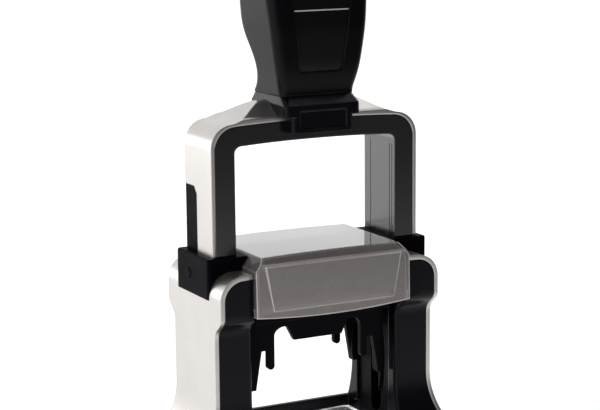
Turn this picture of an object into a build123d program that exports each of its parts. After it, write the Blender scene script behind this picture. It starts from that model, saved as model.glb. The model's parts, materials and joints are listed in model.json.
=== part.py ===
from build123d import *
import os
from math import cos, pi, radians, sin

# Self-inking stamp with a press frame that slides on two towers. Pressing the
# handle lowers the frame, and the cam grooves in the towers turn the platen
# half over on its way from the ink pad to the paper.
# +X is to the right, -Y is the front, +Z is up; the stamp stands on z = 0.

# ---- Driving dimensions, millimetres ----
opening_width = 46.0        # clear gap between the guide plates
text_length = 41.0          # printed area, left to right
text_depth = 24.0           # printed area, front to back
stroke = 28.0               # travel of the press frame
axle_height = 37.5          # turning axle of the platen at rest
leg_depth = 16.84           # front-to-back size of the press frame
leg_width = 5.9             # width of a frame leg without its metal band
band_thickness = 1.0        # metal band round the press frame
guide_thickness = 1.4       # wall that carries the slot and cam groove
cladding_thickness = 1.2    # metal skin on a tower
tower_depth = 26.0          # front-to-back size of a tower's leg
shoulder_depth = 34.6       # front-to-back size of a tower's shoulder
foot_height = 8.0           # rails of the foot ring
foot_flare = 4.0            # how far the foot stands out past a tower
handle_height = 48.4        # grip above its neck

# ---- Clearances and small sizes ----
slide_gap = 0.2             # leg in its guides, cover beside the shoulders
fit_gap = 0.1               # pieces dropped into a recess
bore_gap = 0.05             # turning pin in its bore
track_gap = 0.15            # pin in a slot or groove
ink_gap = 0.8               # die below the ink pad at rest
axle_radius = 2.0
cam_pin_radius = 1.0
cam_radius = 4.6            # cam pin above the axle
groove_depth = 0.85
pocket_skin = 0.6           # tower wall outside the leg pocket
card_thickness = 0.3
cover_wall = 0.8
cover_bow = 1.2             # sag of the cover's front edge in its middle
bridge_wall = 0.9

# ---- Widths, from the middle outwards ----
half_gap = opening_width / 2
guide_outer = half_gap + guide_thickness
leg_inner = guide_outer + slide_gap
liner_outer = leg_inner + leg_width
band_outer = liner_outer + band_thickness
pocket_outer = band_outer + slide_gap
tower_outer = pocket_outer + pocket_skin
cladding_outer = tower_outer + cladding_thickness
foot_half_width = cladding_outer + foot_flare
shoulder_inner = guide_outer - 0.7
column_inner = half_gap - 0.8
cover_half = shoulder_inner - slide_gap
bridge_half = cover_half - cover_wall - slide_gap
cassette_half = bridge_half - bridge_wall - slide_gap

# ---- Depths, front to back ----
leg_half = leg_depth / 2
pocket_half = leg_half + slide_gap
guide_half = pocket_half + 0.3
foot_half_depth = tower_depth / 2 + 10.0
ring_half_depth = tower_depth / 2 + 4.0
platen_half = text_depth / 2
cover_front = shoulder_depth / 2 + 1.3
cover_rear = 14.0
bridge_front = cover_front - 1.9
bridge_rear = cover_rear - 0.5

# ---- Heights, from the paper upwards ----
leg_floor = 3.0
print_radius = axle_height - stroke
die_face = axle_height + print_radius
pad_face = die_face + ink_gap
cassette_floor = pad_face + 0.8
cassette_top = cassette_floor + 7.0
plate_floor = cassette_top + 0.3
plate_top = plate_floor + bridge_wall
cover_top = plate_top + card_thickness + 3.1
guide_step = axle_height + cam_radius + cam_pin_radius + 1.1
bridge_foot_top = guide_step + 1.6
cover_side_floor = bridge_foot_top + slide_gap
cladding_top = cover_top - 4.5
tower_top = cladding_top - cladding_thickness
shoulder_radius = 6.7
leg_foot = axle_height - 4.5
flare_start = foot_height + 13.0
waist_top = guide_step - 6.0
shoulder_start = guide_step + 1.3
collar_floor = cladding_top - 7.2
collar_top = cladding_top + 3.7
window_top = cover_top + 0.6 + stroke
liner_top = window_top + 6.0
band_top = liner_top + band_thickness
crown_top = liner_top + 4.8
neck_height = crown_top + 1.8
spring_seat = leg_foot + 25.0
band_foot = axle_height + 7.5

os.makedirs("parts", exist_ok=True)


def save(part, name):
    """Label a finished piece and write it."""
    part.label = name
    export_step(part, f"parts/{name}.step")


def save_pair(part, name):
    """Write a right-hand piece and its mirror image."""
    with BuildPart() as other:
        mirror(part, about=Plane.YZ)
    save(part, f"{name}_right")
    save(other.part, f"{name}_left")


def block(x_range, y_range, z_range, mode=Mode.ADD):
    """Box between the given limits."""
    sizes = [limits[1] - limits[0] for limits in (x_range, y_range, z_range)]
    middle = [(limits[0] + limits[1]) / 2 for limits in (x_range, y_range, z_range)]
    with Locations(tuple(middle)):
        Box(*sizes, mode=mode)


def both_ways(value):
    """Limits of a size centred on zero."""
    return (-value, value)


# ---- Towers ----
def tower_outline(inset):
    """Front outline of the right tower, with its top and outer side moved in by the inset."""
    outer = cladding_outer - inset
    top = cladding_top - inset
    corner = shoulder_radius - inset
    flare_end = (foot_half_width - 0.9 - inset, foot_height)
    with BuildSketch(Plane.XZ) as outline:
        with BuildLine():
            inner = Polyline(
                (column_inner, foot_height),
                (column_inner, guide_step - 2.2),
                (shoulder_inner, guide_step - 0.8),
                (shoulder_inner, top),
                (outer - corner, top),
            )
            shoulder = JernArc(inner @ 1, (1, 0), corner, -90)
            leg = Line(shoulder @ 1, (outer, flare_start))
            flare = TangentArc(leg @ 1, flare_end, tangent=(0, -1))
            Line(flare @ 1, inner @ 0)
        make_face()
    return outline.sketch


def tower_side():
    """Side outline of a tower: wide shoulder, narrow leg, flared foot."""
    waist = tower_depth / 2
    shoulder = shoulder_depth / 2
    with BuildSketch(Plane.YZ) as outline:
        with BuildLine():
            leg = Line((waist, flare_start), (waist, waist_top))
            swell = Spline(leg @ 1, (shoulder, shoulder_start), tangents=((0, 1), (0, 1)))
            top = Polyline(swell @ 1, (shoulder, cladding_top), (0, cladding_top), (0, foot_height))
            sole = Line(top @ 1, (ring_half_depth - 1.0, foot_height))
            TangentArc(leg @ 0, sole @ 1, tangent=(0, -1))
        make_face()
        mirror(about=Plane.YZ)
    return outline.sketch


def shoulder_plan():
    """Plan of a tower: the front and rear bow gently outwards."""
    reach = shoulder_depth / 2
    far = foot_half_width + 1.0
    near = column_inner
    with BuildSketch(Plane.XY.offset(foot_height)) as outline:
        with BuildLine():
            middle = (near + cladding_outer) / 2
            front = ThreePointArc((near, 1 - reach), (middle, -reach), (far, 1.6 - reach))
            side = Line(front @ 1, (far, reach - 1.6))
            rear = ThreePointArc(side @ 1, (middle, reach), (near, reach - 1))
            Line(rear @ 1, front @ 0)
        make_face()
    return outline.sketch


with BuildPart() as tower:
    extrude(tower_outline(cladding_thickness), amount=foot_half_depth, both=True)
    extrude(tower_side(), amount=foot_half_width, mode=Mode.INTERSECT)
    inner_edges = tower.edges().filter_by(Axis.Z).group_by(Axis.X)[0]
    fillet(inner_edges, radius=1.5)
    extrude(shoulder_plan(), amount=cladding_top, mode=Mode.INTERSECT)
    # Pocket for the frame leg, and the seat of the guide plate beside it
    block((guide_outer, pocket_outer), both_ways(pocket_half), (foot_height, cladding_top), Mode.SUBTRACT)
    block((column_inner, guide_outer), both_ways(guide_half), (foot_height, cladding_top), Mode.SUBTRACT)
save_pair(tower.part, "tower")

with BuildPart() as cladding:
    extrude(tower_outline(0), amount=foot_half_depth, both=True)
    extrude(tower_outline(cladding_thickness), amount=foot_half_depth, both=True, mode=Mode.SUBTRACT)
    extrude(tower_side(), amount=foot_half_width, mode=Mode.INTERSECT)
    extrude(shoulder_plan(), amount=cladding_top, mode=Mode.INTERSECT)
    block((guide_outer, pocket_outer), both_ways(pocket_half), (collar_floor, cladding_top), Mode.SUBTRACT)
save_pair(cladding.part, "cladding")

# ---- Foot ring ----
with BuildPart() as base_frame:
    with BuildSketch(Plane.XY):
        RectangleRounded(2 * foot_half_width, 2 * foot_half_depth, 5.0)
    with BuildSketch(Plane.XY.offset(foot_height)):
        RectangleRounded(2 * (foot_half_width - 0.9), 2 * ring_half_depth, 4.0)
    loft()
    block(both_ways(half_gap), both_ways(ring_half_depth - 1.4), (0, foot_height), Mode.SUBTRACT)
    for side in (-1, 1):
        inner, outer = sorted((side * guide_outer, side * (liner_outer + slide_gap)))
        block((inner, outer), both_ways(pocket_half), (leg_floor, foot_height), Mode.SUBTRACT)
        inner, outer = sorted((side * half_gap, side * guide_outer))
        block((inner, outer), both_ways(guide_half), (2.0, foot_height), Mode.SUBTRACT)
        inner, outer = sorted((side * pocket_outer, side * (liner_outer + slide_gap)))
        block((inner, outer), both_ways(pocket_half), (foot_height - 2.0, foot_height), Mode.SUBTRACT)
save(base_frame.part, "base_frame")

# ---- Clear positioning frame inside the foot ring ----
with BuildPart() as positioning_frame:
    frame_half = half_gap - slide_gap
    frame_half_depth = ring_half_depth - 1.4 - fit_gap
    block(both_ways(frame_half), both_ways(frame_half_depth), (0, 4.7))
    block(both_ways(text_length / 2 + 1.1), both_ways(platen_half + 2.6), (0, 4.7), Mode.SUBTRACT)
    block(both_ways(frame_half), both_ways(4.0), (3.2, 4.7), Mode.SUBTRACT)
save(positioning_frame.part, "positioning_frame")

# ---- Guide plates: axle slot right through, cam groove on the inner face ----
def cam_point(angle):
    """Where the cam pin stands when the platen has turned by the angle, in radians."""
    height = axle_height - stroke * angle / pi + cam_radius * cos(angle)
    return (-cam_radius * sin(angle), height)


with BuildPart() as guide_plate:
    block((half_gap, guide_outer), both_ways(guide_half - fit_gap), (2.0, guide_step))
    block((shoulder_inner, guide_outer), both_ways(guide_half - fit_gap), (guide_step, tower_top - 0.5))
    with BuildSketch(Plane.YZ.offset(half_gap)):
        with Locations((0, axle_height - stroke / 2)):
            SlotCenterToCenter(stroke, 2 * (axle_radius + track_gap), rotation=90)
    extrude(amount=guide_thickness, mode=Mode.SUBTRACT)
    groove_steps = 12
    with BuildSketch(Plane.YZ.offset(half_gap)):
        with BuildLine() as track:
            slope = (-cam_radius, -stroke / pi)
            Spline([cam_point(pi * step / groove_steps) for step in range(groove_steps + 1)],
                   tangents=(slope, (cam_radius, -stroke / pi)))
        trace(line_width=2 * (cam_pin_radius + track_gap))
        with Locations(cam_point(0), cam_point(pi)):
            Circle(cam_pin_radius + track_gap)
    extrude(amount=groove_depth, mode=Mode.SUBTRACT)
save_pair(guide_plate.part, "guide_plate")

# ---- Ink bridge: carries the cassette and the index card between the towers ----
with BuildPart() as ink_bridge:
    block(both_ways(bridge_half), (-bridge_front, bridge_rear), (guide_step, plate_top))
    block(both_ways(bridge_half - bridge_wall), (bridge_wall - bridge_front, bridge_rear),
          (guide_step, plate_floor), Mode.SUBTRACT)
    block(both_ways(bridge_half - bridge_wall), (-bridge_front, bridge_rear),
          (guide_step, cassette_floor), Mode.SUBTRACT)
    chamfer(ink_bridge.edges().filter_by(Axis.Y).group_by(Axis.Z)[-1], length=1.1)
    for side in (-1, 1):
        inner, outer = sorted((side * (cassette_half - 0.45), side * bridge_half))
        block((inner, outer), (-bridge_front, bridge_rear), (cassette_floor - 1.0, cassette_floor - 0.2))
        inner, outer = sorted((side * (bridge_half - bridge_wall), side * shoulder_inner))
        block((inner, outer), both_ways(guide_half - 0.3), (guide_step, bridge_foot_top))
save(ink_bridge.part, "ink_bridge")

with BuildPart() as index_card:
    block(both_ways(text_length / 2 - 0.5), (2 - bridge_front, bridge_rear - 2),
          (plate_top, plate_top + card_thickness))
save(index_card.part, "index_card")

# ---- Smoky cover that slides forward off the ink bridge ----
def cover_solid(wall):
    """Solid of the cover, with every outer face moved in by the wall."""
    half = cover_half - wall
    top = cover_top - wall
    front = cover_front - 0.4 - wall
    floor = guide_step - 0.2 - wall
    with BuildPart() as body:
        with BuildSketch(Plane.XZ):
            with BuildLine():
                side = Polyline((half, floor), (half, top - 3.6), (half - 2.5, top - 0.3))
                ThreePointArc(side @ 1, (0, top), (2.5 - half, top - 0.3))
                Polyline((2.5 - half, top - 0.3), (-half, top - 3.6), (-half, floor))
                ThreePointArc((-half, floor), (0, floor - cover_bow), (half, floor))
            make_face()
        extrude(amount=cover_front + 1.0, both=True)
        with BuildSketch(Plane.YZ):
            with BuildLine():
                Polyline((cover_rear, guide_step - 3), (-front - 0.4, guide_step - 3), (-front, top - 2.0),
                         (2.0 - front, top), (cover_rear, top), (cover_rear, guide_step - 3))
            make_face()
        extrude(amount=cover_half + 1, both=True, mode=Mode.INTERSECT)
    return body.part


with BuildPart() as window_cover:
    add(cover_solid(0))
    # Raised front panel, narrower at the bottom, with sloping edges
    panel_top = cover_top - 2.4
    panel_floor = guide_step + 0.9
    with BuildSketch(Plane.XZ.offset(cover_front - 0.6)):
        with BuildLine():
            Polyline((-cover_half + 4.8, panel_floor), (cover_half - 4.8, panel_floor),
                     (cover_half - 2.5, panel_top), (2.5 - cover_half, panel_top),
                     (-cover_half + 4.8, panel_floor))
        make_face()
    extrude(amount=0.6, taper=30)
    add(cover_solid(cover_wall), mode=Mode.SUBTRACT)
    block(both_ways(cover_half - cover_wall), (-bridge_front, cover_rear),
          (guide_step - 2, cover_top - 4.6), Mode.SUBTRACT)
    block(both_ways(cover_half), (cover_wall - cover_front + 1.2, cover_rear),
          (guide_step - 2, cover_side_floor), Mode.SUBTRACT)
save(window_cover.part, "window_cover")

# ---- Ink cassette, drawn out at the back ----
cassette_front = bridge_front - bridge_wall - 0.4
cassette_rear = bridge_rear + 1.2
with BuildPart() as ink_cassette:
    block(both_ways(cassette_half), (-cassette_front, cassette_rear), (cassette_floor, cassette_top))
    block(both_ways(text_length / 2 + 0.2), both_ways(platen_half + 1.1),
          (cassette_floor, pad_face + 3.0), Mode.SUBTRACT)
    # Finger grip with ribs
    block(both_ways(9.0), (cassette_rear, cassette_rear + 3.0), (cassette_top - 2.0, cassette_top))
    for rib in range(4):
        place = cassette_rear + 0.5 + 0.65 * rib
        block(both_ways(7.5), (place, place + 0.3), (cassette_top, cassette_top + 0.25))
save(ink_cassette.part, "ink_cassette")

with BuildPart() as ink_pad:
    block(both_ways(text_length / 2 + 0.1), both_ways(platen_half + 1.0), (pad_face, pad_face + 3.0))
save(ink_pad.part, "ink_pad")

# ---- Collars that guide the frame legs into the towers ----
collar_half = leg_half + 1.8
collar_outer = cladding_outer + 0.3
collar_inner = cover_half - 2.5
button_radius = 1.5
button_place = (2.5, collar_top - 5.7)
button_floor = collar_outer - 1.1
with BuildPart() as collar:
    block((collar_inner, collar_outer), both_ways(collar_half), (collar_floor, collar_top))
    fillet(collar.edges().filter_by(Axis.Z).group_by(Axis.X)[-1], radius=0.9)
    fillet(collar.edges().group_by(Axis.Z)[-1], radius=0.6)
    extrude(tower_outline(0), amount=foot_half_depth, both=True, mode=Mode.SUBTRACT)
    block((collar_inner, shoulder_inner + 0.1), both_ways(collar_half),
          (collar_floor, cladding_top), Mode.SUBTRACT)
    # Room for the cover's bevel under the inner lip
    with BuildSketch(Plane.XZ):
        with BuildLine():
            Polyline((collar_inner - 1, cladding_top - 1), (collar_inner - 1, cover_top + 0.8 - 0.7),
                     (cover_half - 2.2, cover_top - 0.1), (cover_half + 0.3, cladding_top + 1.3),
                     (cover_half + 0.3, cladding_top - 1), (collar_inner - 1, cladding_top - 1))
        make_face()
    extrude(amount=collar_half, both=True, mode=Mode.SUBTRACT)
    block((guide_outer, pocket_outer), both_ways(pocket_half), (collar_floor, collar_top), Mode.SUBTRACT)
    with BuildSketch(Plane.YZ.offset(button_floor)):
        with Locations(button_place):
            Circle(button_radius + bore_gap)
    extrude(amount=3.0, mode=Mode.SUBTRACT)
save_pair(collar.part, "collar")

# ---- Lock buttons in the collars ----
with BuildPart() as lock_button:
    with BuildSketch(Plane.YZ.offset(button_floor + 0.6)):
        with Locations(button_place):
            Circle(button_radius)
    extrude(amount=0.75)
    fillet(lock_button.edges().group_by(Axis.X)[-1], radius=0.2)
save_pair(lock_button.part, "lock_button")

# ---- Return springs on their posts, one under each frame leg ----
spring_x = liner_outer - 2.2
spring_radius = 1.62
wire_radius = 0.27
spring_turns = 16

with BuildPart() as spring_post:
    with BuildSketch(Plane.XY.offset(leg_floor)):
        with Locations((spring_x, 0)):
            Circle(1.1)
    extrude(amount=8.0)
    chamfer(spring_post.edges().group_by(Axis.Z)[-1], length=0.4)
save_pair(spring_post.part, "spring_post")

with BuildPart() as spring:
    spring_length = spring_seat - leg_floor - 2 * wire_radius
    with BuildLine(Plane((spring_x, 0, leg_floor + wire_radius))):
        coil = Helix(spring_length / spring_turns, spring_length, spring_radius)
    with BuildSketch(Plane(coil @ 0, z_dir=coil % 0)):
        Circle(wire_radius)
    sweep(path=coil, is_frenet=True)
save_pair(spring.part, "return_spring")

# ---- Press frame: black liner with legs that run down inside the towers ----
inner_corner = 2.0
outer_corner = 6.5


def frame_outline(half_width, top, rise, corner, foot):
    """Arched outline of the press frame, its top rising towards the middle."""
    with BuildSketch(Plane.XZ) as outline:
        with BuildLine():
            leg = Line((half_width, foot), (half_width, top - corner))
            bend = RadiusArc(leg @ 1, (half_width - corner, top), -corner)
            Spline(bend @ 1, (0, top + rise), tangents=((-1, 0.06), (-1, 0)))
            Polyline((0, top + rise), (0, foot), leg @ 0)
        make_face()
        mirror(about=Plane.YZ)
    return outline.sketch


window = frame_outline(leg_inner, window_top, 0.6, inner_corner, leg_foot - 1)
liner_shape = frame_outline(liner_outer, liner_top - 0.6, 0.6, outer_corner, leg_foot)

with BuildPart() as frame_liner:
    extrude(liner_shape, amount=leg_half, both=True)
    extrude(window, amount=leg_half, both=True, mode=Mode.SUBTRACT)
    for side in (-1, 1):
        # Spring channel, open to the outside
        inner, outer = sorted((side * (leg_inner + 1.6), side * liner_outer))
        block((inner, outer), both_ways(2.4), (leg_foot, spring_seat), Mode.SUBTRACT)
        with BuildSketch(Plane.YZ.offset(side * (leg_inner + 0.8))):
            with Locations((0, axle_height)):
                Circle(axle_radius + bore_gap)
        extrude(amount=0.9, both=True, mode=Mode.SUBTRACT)
        # Fine grooves down the inner face of the leg
        inner, outer = sorted((side * leg_inner, side * (leg_inner + 0.3)))
        for place in (-0.83, -0.68, 0.57):
            middle = place * leg_half
            block((inner, outer), (middle - 0.15, middle + 0.15),
                  (collar_floor, window_top - 3), Mode.SUBTRACT)
save(frame_liner.part, "frame_liner")

# ---- Metal band round the press frame, crowned over the top ----
inlay_top = collar_top + 18.0
inlay_front = 1.1


def inlay_side():
    """Side outline of the inlay at the back of the band's leg, with a slanted top corner."""
    with BuildSketch(Plane.YZ) as outline:
        with BuildLine():
            Polyline((inlay_front, band_foot), (leg_half, band_foot), (leg_half, inlay_top),
                     (inlay_front + 1.6, inlay_top), (inlay_front, inlay_top - 2.0),
                     (inlay_front, band_foot))
        make_face()
    return outline.sketch


with BuildPart() as frame_band:
    with BuildSketch(Plane.XZ):
        with BuildLine():
            leg = Line((band_outer, band_foot), (band_outer, liner_top - outer_corner))
            bend = RadiusArc(leg @ 1, (band_outer - outer_corner, liner_top), -outer_corner)
            Spline(bend @ 1, (14.0, crown_top), (0, crown_top + 0.2), tangents=((-1, 0.25), (-1, 0)))
            Polyline((0, crown_top + 0.2), (0, band_foot), leg @ 0)
        make_face()
        mirror(about=Plane.YZ)
    extrude(amount=leg_half, both=True)
    with BuildSketch(Plane.YZ):
        with BuildLine():
            Polyline((-leg_half, band_top), (1.2 - leg_half, band_top + 0.3), (-1.6, crown_top),
                     (1.6, crown_top), (leg_half - 1.2, band_top + 0.3), (leg_half, band_top),
                     (leg_half, band_foot), (-leg_half, band_foot), (-leg_half, band_top))
        crown = make_face()
        fillet(crown.vertices().group_by(Axis.Y)[-1], radius=5.0)
    extrude(amount=band_outer, both=True, mode=Mode.INTERSECT)
    extrude(liner_shape, amount=leg_half, both=True, mode=Mode.SUBTRACT)
    block(both_ways(liner_outer), both_ways(leg_half), (band_foot, window_top), Mode.SUBTRACT)
    extrude(inlay_side(), amount=band_outer, both=True, mode=Mode.SUBTRACT)
save(frame_band.part, "frame_band")

with BuildPart() as band_inlay:
    extrude(inlay_side(), amount=band_outer - 0.1)
    block((0, liner_outer), both_ways(leg_half), (band_foot, inlay_top), Mode.SUBTRACT)
save_pair(band_inlay.part, "band_inlay")

# ---- Handle saddle wrapped over the crossbar ----
saddle_half = 11.4
saddle_front = 12.8
saddle_rear = leg_half + 0.6
saddle_floor = band_top + 0.1
saddle_shoulder = liner_top + 4.2
tab_half = saddle_half - 2.0
tab_floor = window_top + 2.7
panel_half = tab_half - 2.4
saddle_corner = 1.5
neck_plan = (10.8, 10.1, 8.2, 2.2)      # half width, front, rear, corner radius


def rounded_plan(half, front, rear, corner):
    """Rounded rectangle in plan, its front and rear faces set separately."""
    with BuildSketch(mode=Mode.PRIVATE) as plan:
        with Locations((0, (rear - front) / 2)):
            RectangleRounded(2 * half, front + rear, corner)
    return plan.sketch


with BuildPart() as handle_saddle:
    with BuildSketch(Plane.XY.offset(tab_floor)):
        add(rounded_plan(tab_half, saddle_front, saddle_rear, saddle_corner))
    extrude(amount=saddle_floor - tab_floor)
    with BuildSketch(Plane.XY.offset(saddle_floor)):
        add(rounded_plan(saddle_half, saddle_front, saddle_rear, saddle_corner))
    extrude(amount=saddle_shoulder - saddle_floor)
    with BuildSketch(Plane.XY.offset(saddle_shoulder)):
        add(rounded_plan(saddle_half, saddle_front, saddle_rear, saddle_corner))
    with BuildSketch(Plane.XY.offset(neck_height)):
        add(rounded_plan(*neck_plan))
    loft()
    # Recessed panel in the front tab
    block(both_ways(panel_half), (-saddle_front, 0.4 - saddle_front),
          (tab_floor + 0.9, saddle_floor + 1.5), Mode.SUBTRACT)
    add(frame_band.part, mode=Mode.SUBTRACT)
    extrude(liner_shape, amount=leg_half, both=True, mode=Mode.SUBTRACT)
save(handle_saddle.part, "handle_saddle")

# ---- Handle grip with a label plate let into its front ----
# Share of the handle height, half width, front, rear and corner radius of each section
grip_sections = (
    (0.0, 11.1, 10.3, 8.4, 2.2),
    (0.055, 11.6, 10.6, 5.9, 2.4),
    (0.14, 12.6, 11.5, 4.1, 2.5),
    (0.235, 13.4, 11.9, 5.4, 2.6),
    (0.32, 14.0, 12.2, 7.9, 2.8),
    (0.42, 14.6, 12.3, 9.4, 3.1),
    (0.52, 15.1, 12.2, 9.6, 3.6),
    (0.67, 15.8, 12.1, 9.8, 4.4),
    (0.83, 15.2, 11.2, 9.4, 5.2),
    (0.94, 12.0, 8.0, 7.2, 5.0),
    (1.0, 6.0, 3.6, 3.4, 2.4),
)


def grip_solid(front_inset):
    """Solid of the grip, with its front face moved back by the inset."""
    with BuildPart() as body:
        for share, half, front, rear, corner in grip_sections:
            with BuildSketch(Plane.XY.offset(neck_height + share * handle_height)):
                add(rounded_plan(half, front - front_inset, rear, corner))
        loft()
    return body.part


def label_prism(margin):
    """Prism with the label's outline, wider towards the top."""
    floor = neck_height + 0.13 * handle_height + margin
    top = neck_height + 0.78 * handle_height - margin
    lower = 6.4 - margin
    upper = 10.2 - margin
    with BuildPart() as body:
        with BuildSketch(Plane.XZ) as face:
            Polygon((-lower, floor), (lower, floor), (upper, top), (-upper, top), align=None)
            fillet(face.vertices(), radius=1.2)
        extrude(amount=foot_half_depth)
    return body.part


label_depth = 1.0
label_recess = label_prism(0) - grip_solid(label_depth)
with BuildPart() as handle_grip:
    add(grip_solid(0))
    add(label_recess, mode=Mode.SUBTRACT)
save(handle_grip.part, "handle_grip")

with BuildPart() as label_plate:
    add(label_prism(fit_gap))
    add(grip_solid(0.35), mode=Mode.INTERSECT)
    add(grip_solid(label_depth), mode=Mode.SUBTRACT)
save(label_plate.part, "label_plate")

# ---- Platen: the turning carrier with its text plate and rubber die ----
die_half = text_length / 2
plate_back = die_face - 3.6
carrier_back = plate_back - 2.8
carrier_half = die_half + 0.2
strut_floor = axle_height - 16.3
prong_floor = axle_height - 11.0
web_floor = axle_height - 5.5
skirt_outer = 8.5
skirt_inner = 7.0
cheek_inner = carrier_half - 1.9


def skirt_outline():
    """Outline of the carrier's skirt: middle tongue, round prong, web and tapered strut."""
    arch_top = axle_height + 0.9
    tongue = axle_height - 3.5
    prong_inner = carrier_half - 7.2
    prong_outer = prong_inner + 2.1
    with BuildSketch(Plane.XZ) as outline:
        with BuildLine():
            middle = Polyline((0, carrier_back), (0, tongue), (7.4, tongue), (9.3, tongue + 3.6))
            arch = Spline(middle @ 1, (prong_inner, arch_top - 2.6), tangents=((0.5, 1), (0, -1)))
            inner = Line(arch @ 1, (prong_inner, prong_floor + 1.05))
            tip = RadiusArc(inner @ 1, (prong_outer, prong_floor + 1.05), -1.05)
            Polyline(tip @ 1, (prong_outer, web_floor), (carrier_half - 3.3, web_floor),
                     (carrier_half - 1.5, strut_floor), (carrier_half, strut_floor),
                     (carrier_half, carrier_back), (0, carrier_back))
        make_face()
        mirror(about=Plane.YZ)
    return outline.sketch


with BuildPart() as platen_carrier:
    block(both_ways(carrier_half), both_ways(platen_half), (carrier_back, plate_back))
    extrude(skirt_outline(), amount=skirt_outer, both=True)
    block(both_ways(cheek_inner), both_ways(skirt_inner), (strut_floor, carrier_back), Mode.SUBTRACT)
    for side in (-1, 1):
        inner, outer = sorted((side * cheek_inner, side * carrier_half))
        block((inner, outer), both_ways(skirt_inner - 1.2), (strut_floor, axle_height - 4.5), Mode.SUBTRACT)
        with BuildSketch(Plane.YZ.offset(side * (cheek_inner + carrier_half) / 2)):
            with Locations((0, axle_height)):
                Circle(axle_radius)
            with Locations((0, axle_height + cam_radius)):
                Circle(cam_pin_radius)
        extrude(amount=1.2, both=True, mode=Mode.SUBTRACT)
save(platen_carrier.part, "platen_carrier")

with BuildPart() as text_plate:
    block(both_ways(carrier_half), both_ways(platen_half), (plate_back, plate_back + 1.6))
save(text_plate.part, "text_plate")

# Rubber die with plain raised bars that stand for lines of type
with BuildPart() as rubber_die:
    block(both_ways(die_half), both_ways(platen_half), (plate_back + 1.6, die_face - 0.8))
    for row, share in enumerate((0.9, 0.62, 0.78, 0.5)):
        middle = platen_half * (0.66 - 0.44 * row)
        block(both_ways(share * (die_half - 1.5)), (middle - 1.5, middle + 1.5), (die_face - 0.8, die_face))
save(rubber_die.part, "rubber_die")

with BuildPart() as axle_pin:
    with BuildSketch(Plane.YZ.offset(cheek_inner)):
        with Locations((0, axle_height)):
            Circle(axle_radius)
    extrude(amount=leg_inner + 1.5 - cheek_inner)
    with BuildSketch(Plane.YZ.offset(cheek_inner - 0.8)):
        with Locations((0, axle_height)):
            Circle(axle_radius + 0.8)
    extrude(amount=0.8)
    chamfer(axle_pin.edges().group_by(Axis.X)[-1], length=0.3)
save_pair(axle_pin.part, "axle_pin")

with BuildPart() as cam_pin:
    with BuildSketch(Plane.YZ.offset(cheek_inner)):
        with Locations((0, axle_height + cam_radius)):
            Circle(cam_pin_radius)
    extrude(amount=half_gap + groove_depth - track_gap - cheek_inner)
save_pair(cam_pin.part, "cam_pin")
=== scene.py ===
import bpy
import json
import math
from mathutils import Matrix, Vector
from mathutils import noise as noiseTool


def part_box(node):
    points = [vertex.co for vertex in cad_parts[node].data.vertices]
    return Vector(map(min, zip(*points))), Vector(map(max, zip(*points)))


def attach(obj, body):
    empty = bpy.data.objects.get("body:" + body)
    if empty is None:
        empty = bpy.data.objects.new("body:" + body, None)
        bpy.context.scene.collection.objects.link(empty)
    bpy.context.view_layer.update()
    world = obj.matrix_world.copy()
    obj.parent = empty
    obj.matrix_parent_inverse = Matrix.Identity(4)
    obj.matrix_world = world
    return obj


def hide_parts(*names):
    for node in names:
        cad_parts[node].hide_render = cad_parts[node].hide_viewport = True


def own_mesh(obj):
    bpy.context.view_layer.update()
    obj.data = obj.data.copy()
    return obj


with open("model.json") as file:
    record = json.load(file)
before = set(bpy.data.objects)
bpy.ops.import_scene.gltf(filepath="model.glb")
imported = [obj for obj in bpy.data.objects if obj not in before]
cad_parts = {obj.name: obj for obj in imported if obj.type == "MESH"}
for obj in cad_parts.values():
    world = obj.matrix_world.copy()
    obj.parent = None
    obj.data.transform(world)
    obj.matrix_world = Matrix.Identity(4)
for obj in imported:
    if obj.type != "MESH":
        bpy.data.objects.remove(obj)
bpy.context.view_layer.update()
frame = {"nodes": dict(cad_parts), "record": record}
nodes = frame["nodes"]
print("frame loaded:", len(nodes), "nodes")


# Small helpers for building node trees
def newMaterial(name):
    material = bpy.data.materials.new(name)
    material.use_nodes = True
    tree = material.node_tree
    tree.nodes.clear()
    output = tree.nodes.new("ShaderNodeOutputMaterial")
    shader = tree.nodes.new("ShaderNodeBsdfPrincipled")
    tree.links.new(shader.outputs["BSDF"], output.inputs["Surface"])
    return material, tree, shader


def setInputs(tree, node, inputs):
    for key, value in inputs.items():
        if hasattr(value, "is_output"):
            tree.links.new(value, node.inputs[key])
        else:
            node.inputs[key].default_value = value


def addNode(tree, kind, settings=None, inputs=None):
    node = tree.nodes.new(kind)
    for key, value in (settings or {}).items():
        setattr(node, key, value)
    setInputs(tree, node, inputs or {})
    return node


def maths(tree, operation, *values):
    node = addNode(tree, "ShaderNodeMath", {"operation": operation}, dict(enumerate(values)))
    return node.outputs[0]


def objectPlace(tree, stretch=(1, 1, 1)):
    coords = addNode(tree, "ShaderNodeTexCoord")
    mapping = addNode(tree, "ShaderNodeMapping",
                      inputs={"Vector": coords.outputs["Object"], "Scale": stretch})
    return mapping.outputs["Vector"]


def noise(tree, place, scale, detail=4.0, roughness=0.55):
    node = addNode(tree, "ShaderNodeTexNoise",
                   inputs={"Vector": place, "Scale": scale, "Detail": detail, "Roughness": roughness})
    return node.outputs["Fac"]


def ranged(tree, value, low, high, fromLow=0.3, fromHigh=0.7):
    limits = {"From Min": fromLow, "From Max": fromHigh, "To Min": low, "To Max": high}
    return addNode(tree, "ShaderNodeMapRange", inputs={"Value": value, **limits}).outputs["Result"]


def blendColour(tree, amount, first, second):
    node = addNode(tree, "ShaderNodeMix", {"data_type": "RGBA"})
    for slot, value in (("Factor", amount), ("A", first), ("B", second)):
        sockets = [s for s in node.inputs if s.name == slot and s.enabled]
        if hasattr(value, "is_output"):
            tree.links.new(value, sockets[0])
        else:
            sockets[0].default_value = value if slot == "Factor" else (*value, 1.0)
    return [s for s in node.outputs if s.enabled][0]


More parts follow.
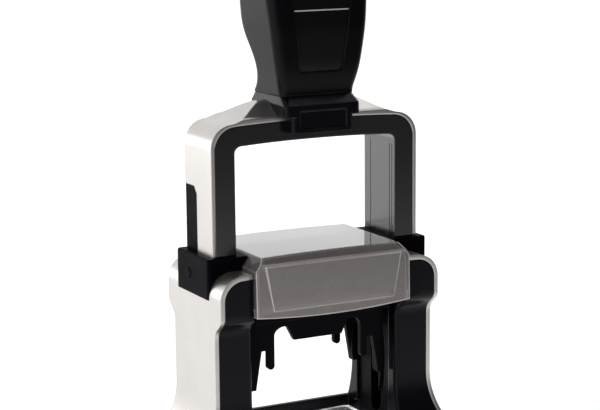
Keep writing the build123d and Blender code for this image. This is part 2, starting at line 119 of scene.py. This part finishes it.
def bumped(tree, height, strength, distance, under=None):
    inputs = {"Strength": strength, "Distance": distance, "Height": height}
    if under is not None:
        inputs["Normal"] = under
    return addNode(tree, "ShaderNodeBump", inputs=inputs).outputs["Normal"]


# Rounded-edge normal, and a mask that is bright only along the edges
def softEdge(tree, radius):
    bevel = addNode(tree, "ShaderNodeBevel", {"samples": 6}, {"Radius": radius})
    geometry = addNode(tree, "ShaderNodeNewGeometry")
    dot = addNode(tree, "ShaderNodeVectorMath", {"operation": "DOT_PRODUCT"},
                  {0: bevel.outputs["Normal"], 1: geometry.outputs["Normal"]})
    edge = ranged(tree, dot.outputs["Value"], 1.0, 0.0, fromLow=0.72, fromHigh=0.985)
    return bevel.outputs["Normal"], edge


# Mask of a thin level line printed on a front face
def ruleMask(tree, rule):
    coords = addNode(tree, "ShaderNodeTexCoord")
    split = addNode(tree, "ShaderNodeSeparateXYZ", inputs={"Vector": coords.outputs["Object"]})
    bands = []
    for axis, middle, size in (("Z", rule["height"], rule["thickness"]), ("X", 0.0, rule["length"])):
        away = maths(tree, "ABSOLUTE", maths(tree, "SUBTRACT", split.outputs[axis], middle))
        bands.append(ranged(tree, away, 1.0, 0.0, size / 2 - rule["blur"], size / 2 + rule["blur"]))
    return maths(tree, "MULTIPLY", *bands)


# Moulded plastic: fine spark-eroded grain, faint cloudiness, edges lightened by wear and a painted
# highlight
def mouldedPlastic(name, look):
    material, tree, shader = newMaterial(name)
    place = objectPlace(tree)
    edgeNormal, edge = softEdge(tree, look["edgeRadius"])
    cloud = noise(tree, place, scale=55.0, detail=3.0)
    smudge = noise(tree, place, scale=140.0, detail=5.0, roughness=0.6)
    grain = noise(tree, place, scale=3600.0, detail=2.0, roughness=0.5)
    colour = blendColour(tree, ranged(tree, cloud, 0.0, 1.0), look["dark"], look["light"])
    # Edges lightened partly by wear and partly by a painted highlight, patchy along their length
    rubAndHighlight = ranged(tree, smudge, 0.15, look["wearAndHighlight"], fromLow=0.35, fromHigh=0.65)
    wearAndHighlight = addNode(tree, "ShaderNodeMath", {"operation": "MULTIPLY", "use_clamp": True}, {0: edge, 1: rubAndHighlight})
    finish = blendColour(tree, wearAndHighlight.outputs[0], colour, look["wornAndLitEdgeColour"])
    if "rule" in look:
        finish = blendColour(tree, ruleMask(tree, look["rule"]), finish, look["rule"]["colour"])
    setInputs(tree, shader, {
        "Base Color": finish,
        "Roughness": ranged(tree, smudge, look["rough"] - 0.05, look["rough"] + 0.06),
        "Normal": bumped(tree, grain, look["grain"], distance=0.00003, under=edgeNormal),
        "Specular IOR Level": look["specular"],
        "IOR": 1.5,
        "Coat Weight": look["coat"],
        "Coat Roughness": look["rough"],
    })
    return material


# Bright metal: satin lacquer over silver, with fine rubbing up and down, and edges lightened by wear and a
# painted highlight
def brightMetal(name, look):
    material, tree, shader = newMaterial(name)
    place = objectPlace(tree)
    edgeNormal, edge = softEdge(tree, look["edgeRadius"])
    cloud = noise(tree, place, scale=38.0, detail=3.0)
    hair = noise(tree, objectPlace(tree, (1.0, 1.0, 0.05)), scale=1500.0, detail=3.0, roughness=0.6)
    smudge = noise(tree, place, scale=120.0, detail=5.0, roughness=0.6)
    colour = blendColour(tree, ranged(tree, cloud, 0.0, 1.0), look["dark"], look["light"])
    # Edges lightened partly by wear and partly by a painted highlight
    rubAndHighlight = ranged(tree, edge, 0.0, 0.7, fromLow=0.0, fromHigh=1.0)
    setInputs(tree, shader, {
        "Base Color": blendColour(tree, rubAndHighlight, colour, look["wornAndLitEdgeColour"]),
        "Roughness": ranged(tree, smudge, look["rough"] - 0.05, look["rough"] + 0.07),
        "Normal": bumped(tree, hair, strength=0.06, distance=0.00002, under=edgeNormal),
        "Metallic": look["metal"],
        "Coat Weight": look["coat"],
        "Coat Roughness": 0.18,
    })
    return material


# Tinted clear plastic with faint smudges and a soft haze, and pale painted highlight lines and a painted
# glow along its edges
def clearPlastic(name, look):
    material, tree, shader = newMaterial(name)
    place = objectPlace(tree)
    edgeNormal, edge = softEdge(tree, look["edgeRadius"])
    smudge = noise(tree, place, scale=90.0, detail=5.0, roughness=0.6)
    haze = noise(tree, place, scale=220.0, detail=3.0, roughness=0.6)
    colour = blendColour(tree, ranged(tree, smudge, 0.0, 1.0), look["dark"], look["light"])

    def alongEdge(flat, rim):
        return ranged(tree, edge, flat, rim, fromLow=0.0, fromHigh=1.0)

    # Pale painted highlight lines along the edges, where the plastic is also less clear, and a painted glow
    # there
    setInputs(tree, shader, {
        "Base Color": blendColour(tree, alongEdge(0.0, look["edgeGlow"]), colour, look["wornAndLitEdgeColour"]),
        "Roughness": ranged(tree, haze, look["rough"], look["rough"] + 0.05),
        "Transmission Weight": alongEdge(look["clear"], look["clear"] * (1 - look["edgeGlow"])),
        "Emission Color": (*look["wornAndLitEdgeColour"], 1.0),
        "Emission Strength": alongEdge(0.0, look["paintedEdgeGlow"]),  # painted glow along the edges
        "Normal": edgeNormal,
        "Specular IOR Level": look["specular"],
        "IOR": 1.49,
        "Coat Weight": look["coat"],
        "Coat Roughness": 0.03,
        "Coat IOR": 1.6,
    })
    return material


# Blank card: paper fibres and a slight warm cast
def cardPaper(name, look):
    material, tree, shader = newMaterial(name)
    fibres = noise(tree, objectPlace(tree, (1.0, 0.25, 1.0)), scale=2200.0, detail=6.0, roughness=0.7)
    cloud = noise(tree, objectPlace(tree), scale=80.0, detail=3.0)
    tone = blendColour(tree, ranged(tree, cloud, 0.0, 1.0), look["dark"], look["light"])
    setInputs(tree, shader, {
        "Base Color": blendColour(tree, ranged(tree, fibres, 0.0, look["fibreCover"]), tone, look["fibre"]),
        "Roughness": ranged(tree, fibres, *look["rough"]),
        "Normal": bumped(tree, fibres, look["grain"], distance=0.00002),
    })
    return material


# Ink-soaked felt: matted fibres, wetter in patches
def inkFelt(name, look):
    material, tree, shader = newMaterial(name)
    place = objectPlace(tree)
    fibres = noise(tree, place, scale=2600.0, detail=8.0, roughness=0.75)
    wet = noise(tree, place, scale=160.0, detail=4.0)
    tone = blendColour(tree, ranged(tree, wet, 0.0, 1.0), look["dark"], look["light"])
    setInputs(tree, shader, {
        "Base Color": blendColour(tree, ranged(tree, fibres, 0.0, look["fibreCover"]), tone, look["fibre"]),
        "Roughness": ranged(tree, wet, *look["rough"]),
        "Normal": bumped(tree, fibres, look["grain"], distance=0.0001),
    })
    return material


slotMaterials = {}

# Towers, skirt of the handle, ink bridge and foot ring: black plastic with a hint of blue
blackPlastic = {
    "dark": (0.0028, 0.0022, 0.005), "light": (0.0042, 0.0034, 0.0072), "wornAndLitEdgeColour": (0.07, 0.065, 0.08),
    "rough": 0.22, "grain": 0.05, "wearAndHighlight": 0.9, "specular": 0.14, "coat": 0.0, "edgeRadius": 0.0006,
}
slotMaterials["black_plastic"] = mouldedPlastic("BlackMoulding", blackPlastic)

# Grip: nearly the same black, a little duller
handlePlastic = {
    "dark": (0.003, 0.0027, 0.0038), "light": (0.0045, 0.0041, 0.0056), "wornAndLitEdgeColour": (0.05, 0.048, 0.054),
    "rough": 0.25, "grain": 0.05, "wearAndHighlight": 0.8, "specular": 0.11, "coat": 0.0, "edgeRadius": 0.0007,
}
slotMaterials["handle_plastic"] = mouldedPlastic("GripMoulding", handlePlastic)

# Label plate: smooth, and blank but for one printed line
labelPlastic = {
    "dark": (0.004, 0.0038, 0.005), "light": (0.0055, 0.0053, 0.0066), "wornAndLitEdgeColour": (0.12, 0.118, 0.12),
    "rough": 0.14, "grain": 0.02, "wearAndHighlight": 1.0, "specular": 0.3, "coat": 0.0, "edgeRadius": 0.00035,
    "rule": {"height": 0.1241, "thickness": 0.00035, "length": 0.0165, "blur": 0.00003,
             "colour": (0.75, 0.74, 0.73)},
}
slotMaterials["label_plastic"] = mouldedPlastic("LabelPlastic", labelPlastic)

# Guide plates, platen carrier and spring posts: duller black, with edges lightened by rub marks and a
# painted highlight
guidePlastic = {
    "dark": (0.0042, 0.0038, 0.0056), "light": (0.0064, 0.0058, 0.008), "wornAndLitEdgeColour": (0.07, 0.068, 0.075),
    "rough": 0.36, "grain": 0.12, "wearAndHighlight": 0.7, "specular": 0.03, "coat": 0.0, "edgeRadius": 0.0003,
}
slotMaterials["guide_plastic"] = mouldedPlastic("GuideMoulding", guidePlastic)
slotMaterials["post_plastic"] = mouldedPlastic("PostMoulding", guidePlastic)

# Ink cassette
cassettePlastic = {
    "dark": (0.008, 0.0076, 0.009), "light": (0.012, 0.0114, 0.0134), "wornAndLitEdgeColour": (0.07, 0.068, 0.075),
    "rough": 0.38, "grain": 0.15, "wearAndHighlight": 0.6, "specular": 0.3, "coat": 0.0, "edgeRadius": 0.0003,
}
slotMaterials["cassette_plastic"] = mouldedPlastic("CassetteMoulding", cassettePlastic)

# Felt of the ink pad
feltLook = {
    "dark": (0.006, 0.007, 0.03), "light": (0.014, 0.016, 0.06), "fibre": (0.03, 0.032, 0.09),
    "fibreCover": 0.5, "rough": (0.45, 0.8), "grain": 0.7,
}
slotMaterials["ink_felt"] = inkFelt("InkFelt", feltLook)

# Card under the cover
cardLook = {
    "dark": (0.80, 0.775, 0.75), "light": (0.86, 0.84, 0.82), "fibre": (0.70, 0.68, 0.65),
    "fibreCover": 0.3, "rough": (0.7, 0.85), "grain": 0.2,
}
slotMaterials["paper"] = cardPaper("CardPaper", cardLook)

# Silver skin of the towers and the band round the frame
skinLook = {
    "dark": (0.59, 0.565, 0.54), "light": (0.65, 0.625, 0.603), "wornAndLitEdgeColour": (0.85, 0.835, 0.81),
    "rough": 0.3, "metal": 0.9, "coat": 0.2, "edgeRadius": 0.0006,
}
slotMaterials["silver_skin"] = brightMetal("SilverSkin", skinLook)

# Axle pins, cam pins and return springs
steelLook = {
    "dark": (0.52, 0.52, 0.54), "light": (0.64, 0.64, 0.66), "wornAndLitEdgeColour": (0.8, 0.8, 0.82),
    "rough": 0.25, "metal": 1.0, "coat": 0.0, "edgeRadius": 0.0001,
}
slotMaterials["pin_steel"] = brightMetal("PinSteel", steelLook)

# Smoky cover: grey tint, pale painted highlight lines and a painted glow along its edges
smokyLook = {
    "dark": (0.46, 0.415, 0.40), "light": (0.49, 0.443, 0.428), "wornAndLitEdgeColour": (0.9, 0.82, 0.80),
    "rough": 0.03, "clear": 0.6, "specular": 0.9, "coat": 1.0, "edgeRadius": 0.0007, "edgeGlow": 0.9,
    "paintedEdgeGlow": 0.3,
}
slotMaterials["smoky_clear"] = clearPlastic("SmokyWindow", smokyLook)

# Clear positioning frame in the foot
clearLook = {
    "dark": (0.86, 0.87, 0.87), "light": (0.93, 0.94, 0.94), "wornAndLitEdgeColour": (0.98, 0.98, 0.98),
    "rough": 0.04, "clear": 0.85, "specular": 0.6, "coat": 0.3, "edgeRadius": 0.0003, "edgeGlow": 0.8,
    "paintedEdgeGlow": 0.15,
}
slotMaterials["clear_plastic"] = clearPlastic("ClearFrame", clearLook)

# Text plate
plateLook = {
    "dark": (0.55, 0.55, 0.57), "light": (0.66, 0.66, 0.68), "wornAndLitEdgeColour": (0.8, 0.8, 0.82),
    "rough": 0.35, "grain": 0.1, "wearAndHighlight": 0.4, "specular": 0.5, "coat": 0.0, "edgeRadius": 0.0002,
}
slotMaterials["plate_plastic"] = mouldedPlastic("TextPlate", plateLook)

# Rubber die
rubberLook = {
    "dark": (0.36, 0.07, 0.055), "light": (0.45, 0.1, 0.08), "wornAndLitEdgeColour": (0.55, 0.2, 0.17),
    "rough": 0.6, "grain": 0.4, "wearAndHighlight": 0.4, "specular": 0.35, "coat": 0.0, "edgeRadius": 0.0002,
}
slotMaterials["die_rubber"] = mouldedPlastic("DieRubber", rubberLook)

# Pieces whose black differs from their slot's
nodeMaterials = {}

# Liner of the press frame: the glossiest black, so its inner faces catch the backdrop
linerPlastic = {
    "dark": (0.0028, 0.0024, 0.0046), "light": (0.0042, 0.0037, 0.0066), "wornAndLitEdgeColour": (0.05, 0.047, 0.058),
    "rough": 0.18, "grain": 0.04, "wearAndHighlight": 0.8, "specular": 0.6, "coat": 0.75, "edgeRadius": 0.0006,
}
nodeMaterials["frame_liner"] = mouldedPlastic("LinerMoulding", linerPlastic)

# Collars, inlays and lock buttons: deeper, duller black
deepPlastic = {
    "dark": (0.0028, 0.0025, 0.0044), "light": (0.0044, 0.0039, 0.0066), "wornAndLitEdgeColour": (0.06, 0.057, 0.066),
    "rough": 0.42, "grain": 0.06, "wearAndHighlight": 1.0, "specular": 0.015, "coat": 0.0, "edgeRadius": 0.0007,
}
deepMaterial = mouldedPlastic("DeepMoulding", deepPlastic)
for name in ("collar", "band_inlay", "lock_button"):
    for side in ("left", "right"):
        nodeMaterials[name + "_" + side] = deepMaterial

for part in frame["record"]["subparts"]:
    mesh = nodes[part["node"]].data
    mesh.materials.clear()
    mesh.materials.append(nodeMaterials.get(part["node"], slotMaterials[part["material_slot"]]))


# Four-sided faces are smooth, and a capped end stays flat
def meshObject(name, corners, faces, material):
    mesh = bpy.data.meshes.new(name)
    mesh.from_pydata(corners, [], faces)
    for polygon in mesh.polygons:
        polygon.use_smooth = len(polygon.vertices) == 4
    mesh.materials.append(material)
    thing = bpy.data.objects.new(name, mesh)
    bpy.context.scene.collection.objects.link(thing)
    return thing


# Felt ink pad: slack slab with a crowned lower face and rounded edges, pressed into the cassette
padLook = {"rounding": 0.0008, "turnSteps": 5, "crown": 0.0004, "pullIn": 0.00025, "lump": 0.00005,
           "lumpScale": 900.0, "spacing": 0.0008}


def edgePlaces(half, look):
    turns = [half - look["rounding"] * (1 - math.sin(math.radians(90 * step / look["turnSteps"])))
             for step in range(look["turnSteps"] + 1)]
    inside = half - look["rounding"]
    count = round(2 * inside / look["spacing"])
    middle = [-inside + 2 * inside * step / count for step in range(1, count)]
    return [-place for place in reversed(turns)] + middle + turns


def edgeLift(place, half, look):
    past = max(0.0, abs(place) - half + look["rounding"])
    return look["rounding"] - math.sqrt(max(0.0, look["rounding"] ** 2 - past ** 2))


def padCorners(low, high, columns, rows, look):
    centre = (low + high) / 2
    halfX, halfY = (high.x - low.x) / 2, (high.y - low.y) / 2
    corners = []
    for face in ("lower", "upper"):
        for y in rows:
            for x in columns:
                lift = min(look["rounding"], edgeLift(x, halfX, look) + edgeLift(y, halfY, look))
                pullX = look["pullIn"] * (1 - (y / halfY) ** 2) * abs(x) / halfX
                pullY = look["pullIn"] * (1 - (x / halfX) ** 2) * abs(y) / halfY
                lump = look["lump"] * (1 + noiseTool.noise(Vector((x, y, 0.0)) * look["lumpScale"]))
                if face == "lower":
                    sag = look["crown"] * ((x / halfX) ** 2 + (y / halfY) ** 2) / 2
                    z = low.z + sag + lift + lump
                else:
                    z = high.z - lift
                corners.append((centre.x + x - math.copysign(pullX, x),
                                centre.y + y - math.copysign(pullY, y), z))
    return corners


def padFaces(wide, deep):
    layer = wide * deep
    faces = []
    for j in range(deep - 1):
        for i in range(wide - 1):
            here = j * wide + i
            faces.append((here, here + wide, here + wide + 1, here + 1))
            faces.append((here + layer, here + layer + 1, here + layer + wide + 1, here + layer + wide))
    rim = [i for i in range(wide)]
    rim += [j * wide + wide - 1 for j in range(1, deep)]
    rim += [(deep - 1) * wide + i for i in range(wide - 2, -1, -1)]
    rim += [j * wide for j in range(deep - 2, 0, -1)]
    for here, after in zip(rim, rim[1:] + rim[:1]):
        faces.append((here, after, after + layer, here + layer))
    return faces


def feltPad(look):
    low, high = (Vector(corner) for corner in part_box("ink_pad"))
    columns = edgePlaces((high.x - low.x) / 2, look)
    rows = edgePlaces((high.y - low.y) / 2, look)
    pad = meshObject("FeltPad", padCorners(low, high, columns, rows, look),
                     padFaces(len(columns), len(rows)), slotMaterials["ink_felt"])
    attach(pad, "cassette")
    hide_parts("ink_pad")


feltPad(padLook)
print("felt pad made")


# Return springs: wound wire, made to fill each spring part's box
springLook = {"turns": 16, "steps": 22, "sides": 8, "wire": 0.00027, "travel": 0.028}


def coilCorners(centre, radius, bottom, top, look):
    count, sides = look["turns"] * look["steps"], look["sides"]
    corners = []
    for step in range(count + 1):
        turn = 2 * math.pi * look["turns"] * step / count
        outward = Vector((math.cos(turn), math.sin(turn), 0.0))
        place = Vector((centre.x, centre.y, bottom + (top - bottom) * step / count)) + outward * radius
        for sideStep in range(sides):
            around = 2 * math.pi * sideStep / sides
            spoke = outward * math.cos(around) + Vector((0, 0, math.sin(around)))
            corners.append(place + spoke * look["wire"])
    return corners


def coilFaces(look):
    count, sides = look["turns"] * look["steps"], look["sides"]
    faces = []
    for i in range(count):
        here, after = i * sides, (i + 1) * sides
        for j in range(sides):
            faces.append((here + j, here + (j + 1) % sides, after + (j + 1) % sides, after + j))
    faces.append(tuple(reversed(range(sides))))
    faces.append(tuple(range(count * sides, (count + 1) * sides)))
    return faces


def returnSpring(side, look):
    low, high = (Vector(corner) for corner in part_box("return_spring_" + side))
    centre = (low + high) / 2
    radius = min(high.x - low.x, high.y - low.y) / 2 - look["wire"]
    corners = coilCorners(centre, radius, low.z + look["wire"], high.z - look["wire"], look)
    spring = meshObject("Spring_" + side, corners, coilFaces(look), slotMaterials["pin_steel"])
    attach(spring, "base")
    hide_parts("return_spring_" + side)
    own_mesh(spring)


for side in ("left", "right"):
    returnSpring(side, springLook)
print("return springs made")


# Floor sweep: a broad table that turns up into a backdrop, pale with a painted glow behind, darker in front
# with painted shade
floorLook = {
    "width": 8.0, "front": -3.0, "back": 2.6, "height": 3.0, "bend": 1.0, "bendSteps": 12,
    "colour": (0.93, 0.93, 0.93), "shadedFrontColour": (0.3, 0.3, 0.3), "slant": 0.6,
    "shadeFrom": -0.6, "shadeTo": 0.02, "glow": 0.72, "rough": 0.8, "specular": 0.1,
}


def floorPaint(name, look):
    material, tree, shader = newMaterial(name)
    split = addNode(tree, "ShaderNodeSeparateXYZ", inputs={"Vector": objectPlace(tree)})
    slanted = maths(tree, "MULTIPLY_ADD", split.outputs["X"], -look["slant"], split.outputs["Y"])
    # Painted shade darkening the front, fading into the pale back with its painted glow
    shadeAndGlowMask = ranged(tree, slanted, 0.0, 1.0, look["shadeFrom"], look["shadeTo"])
    tone = blendColour(tree, shadeAndGlowMask, look["shadedFrontColour"], look["colour"])
    setInputs(tree, shader, {
        "Base Color": tone,
        "Emission Color": tone,
        "Emission Strength": ranged(tree, shadeAndGlowMask, 0.0, look["glow"], fromLow=0.0, fromHigh=1.0),
        "Roughness": look["rough"],
        "Specular IOR Level": look["specular"],
    })
    return material


def floorSweep(look):
    bend, half = look["bend"], look["width"] / 2
    profile = [(look["front"], 0.0), (look["back"] - bend, 0.0)]
    for step in range(1, look["bendSteps"] + 1):
        turn = math.radians(90 * step / look["bendSteps"])
        profile.append((look["back"] - bend + bend * math.sin(turn), bend - bend * math.cos(turn)))
    profile.append((look["back"], look["height"]))
    corners = [(side * half, y, z) for y, z in profile for side in (-1, 1)]
    faces = [(2 * i, 2 * i + 1, 2 * i + 3, 2 * i + 2) for i in range(len(profile) - 1)]
    meshObject("FloorSweep", corners, faces, floorPaint("FloorPaint", look))


floorSweep(floorLook)

# Softboxes at the left, behind, above and at the right, all aimed at the middle of the stamp
stampMiddle = Vector((0.0, 0.0, 0.075))
lampLook = {
    "left": {"place": (-1.1, -0.3, 0.42), "size": (0.7, 0.75), "power": 2.2},
    "back": {"place": (-0.6, 0.85, 0.14), "size": (0.8, 0.26), "power": 1.15},
    "top": {"place": (0.2, 0.32, 1.4), "size": (1.35, 1.0), "power": 7.0},
    "right": {"place": (1.1, 0.45, 0.5), "size": (0.35, 0.9), "power": 2.5},
}


def softbox(name, look):
    lamp = bpy.data.lights.new("Lamp_" + name, "AREA")
    lamp.shape = "RECTANGLE"
    lamp.size, lamp.size_y = look["size"]
    lamp.energy = look["power"]
    holder = bpy.data.objects.new("Lamp_" + name, lamp)
    holder.location = look["place"]
    holder.rotation_euler = (stampMiddle - Vector(look["place"])).to_track_quat("-Z", "Y").to_euler()
    bpy.context.scene.collection.objects.link(holder)


for name, look in lampLook.items():
    softbox(name, look)

# A faint even light all round
airLook = {"colour": (1.0, 1.0, 1.0), "strength": 0.1}
world = bpy.data.worlds.new("StudioAir")
world.use_nodes = True
air = world.node_tree.nodes["Background"]
air.inputs["Color"].default_value = (*airLook["colour"], 1.0)
air.inputs["Strength"].default_value = airLook["strength"]
bpy.context.scene.world = world
bpy.context.scene.view_settings.view_transform = "Standard"

# Camera: a long lens, low at the left front, with a hair of roll
cameraLook = {"place": (-0.22385, -0.42602, 0.15820), "target": (-0.00079, 0.0, 0.06967), "lens": 106.07,
              "roll": -0.53, "sensor": 36.0, "nearest": 0.01}


def setCamera(look):
    camera = bpy.data.cameras.new("Camera")
    camera.lens = look["lens"]
    camera.sensor_width = look["sensor"]
    camera.clip_start = look["nearest"]
    holder = bpy.data.objects.new("Camera", camera)
    holder.location = look["place"]
    aim = (Vector(look["target"]) - Vector(look["place"])).to_track_quat("-Z", "Y")
    holder.rotation_euler = aim.to_euler()
    holder.rotation_euler.rotate_axis("Z", math.radians(look["roll"]))
    bpy.context.scene.collection.objects.link(holder)
    bpy.context.scene.camera = holder


setCamera(cameraLook)
print("studio and camera set")
